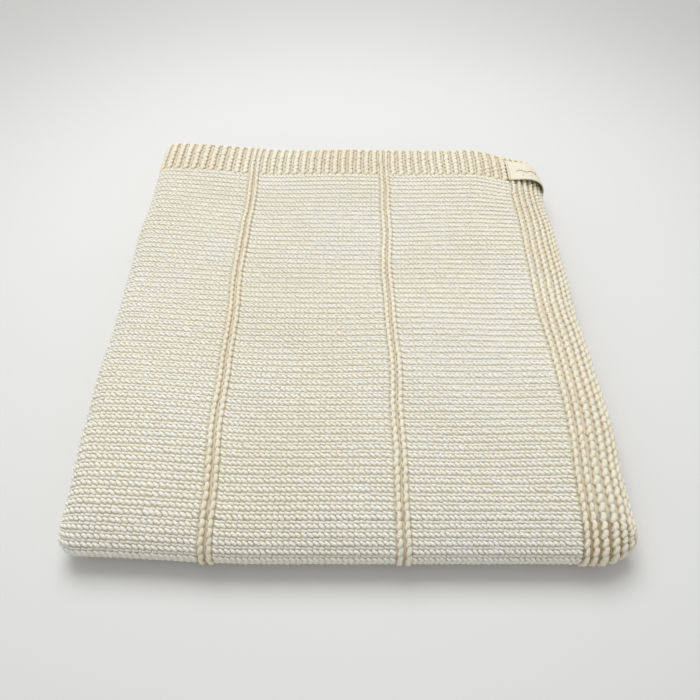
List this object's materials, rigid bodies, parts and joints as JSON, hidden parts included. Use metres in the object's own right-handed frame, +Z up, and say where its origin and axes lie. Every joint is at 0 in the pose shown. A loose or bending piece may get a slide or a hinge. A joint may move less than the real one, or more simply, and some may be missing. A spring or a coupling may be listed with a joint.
{
  "type": "folded throw blanket",
  "caption": "Knitted cotton throw folded into a flat rectangular pad with a round front fold, smooth panels, raised garter ridges, ribbed borders and a ribbon label",
  "frame": {"origin": "middle of the underside, on the floor", "axes": "+X from the left folds to the end border, -Y towards the round front fold, +Z up"},
  "size_m": [0.3428, 0.4012, 0.0431],
  "materials": {
    "cotton_stockinette": "matt plied cotton, stockinette stitch",
    "cotton_garter": "matt plied cotton, garter stitch",
    "label_cotton_tape": "woven cotton tape",
    "label_sewing_thread": "cotton sewing thread"
  },
  "bodies": {
    "lower_half": {"bottom_end_border": "cotton_garter", "bottom_panel_left": "cotton_stockinette", "bottom_panel_middle": "cotton_stockinette", "bottom_panel_right": "cotton_stockinette", "bottom_ridge_pair_left": "cotton_garter", "bottom_ridge_pair_right": "cotton_garter", "bottom_side_border": "cotton_garter", "lower_inner_leaf": "cotton_stockinette", "lower_inner_side_border": "cotton_garter", "lower_left_fold": "cotton_stockinette", "lower_right_fold": "cotton_stockinette", "lower_tucked_end_border": "cotton_garter", "lower_tucked_leaf": "cotton_stockinette", "lower_tucked_side_border": "cotton_garter"},
    "front_fold": {"front_end_border": "cotton_garter", "front_inner_fold": "cotton_stockinette", "front_left_corner": "cotton_stockinette", "front_panel_left": "cotton_stockinette", "front_panel_middle": "cotton_stockinette", "front_panel_right": "cotton_stockinette", "front_ridge_pair_left": "cotton_garter", "front_ridge_pair_right": "cotton_garter", "front_right_corner": "cotton_stockinette", "front_tucked_end_border": "cotton_garter", "front_tucked_fold": "cotton_stockinette"},
    "upper_half": {"label_ribbon": "label_cotton_tape", "label_stitching": "label_sewing_thread", "top_end_border": "cotton_garter", "top_panel_left": "cotton_stockinette", "top_panel_middle": "cotton_stockinette", "top_panel_right": "cotton_stockinette", "top_ridge_pair_left": "cotton_garter", "top_ridge_pair_right": "cotton_garter", "top_side_border": "cotton_garter", "upper_inner_leaf": "cotton_stockinette", "upper_inner_side_border": "cotton_garter", "upper_left_fold": "cotton_stockinette", "upper_right_fold": "cotton_stockinette", "upper_tucked_end_border": "cotton_garter", "upper_tucked_leaf": "cotton_stockinette", "upper_tucked_side_border": "cotton_garter"}
  },
  "joints": [
    {"name": "front_fold_turn", "type": "hinge", "parent": "lower_half", "child": "front_fold", "pos_m": [0, -0.188, 0.0117], "axis": [1, 0, 0], "range_deg": [0, 90], "deforming": ["front_end_border", "front_inner_fold", "front_left_corner", "front_panel_left", "front_panel_middle", "front_panel_right", "front_ridge_pair_left", "front_ridge_pair_right", "front_right_corner", "front_tucked_end_border", "front_tucked_fold"]},
    {"name": "upper_half_turn", "type": "hinge", "parent": "front_fold", "child": "upper_half", "pos_m": [0, -0.188, 0.0317], "axis": [1, 0, 0], "range_deg": [0, 90], "deforming": ["front_end_border", "front_inner_fold", "front_left_corner", "front_panel_left", "front_panel_middle", "front_panel_right", "front_ridge_pair_left", "front_ridge_pair_right", "front_right_corner", "front_tucked_end_border", "front_tucked_fold"]}
  ],
  "couplings": [
    {"joint": "upper_half_turn", "follows": "front_fold_turn", "ratio": 1}
  ]
}
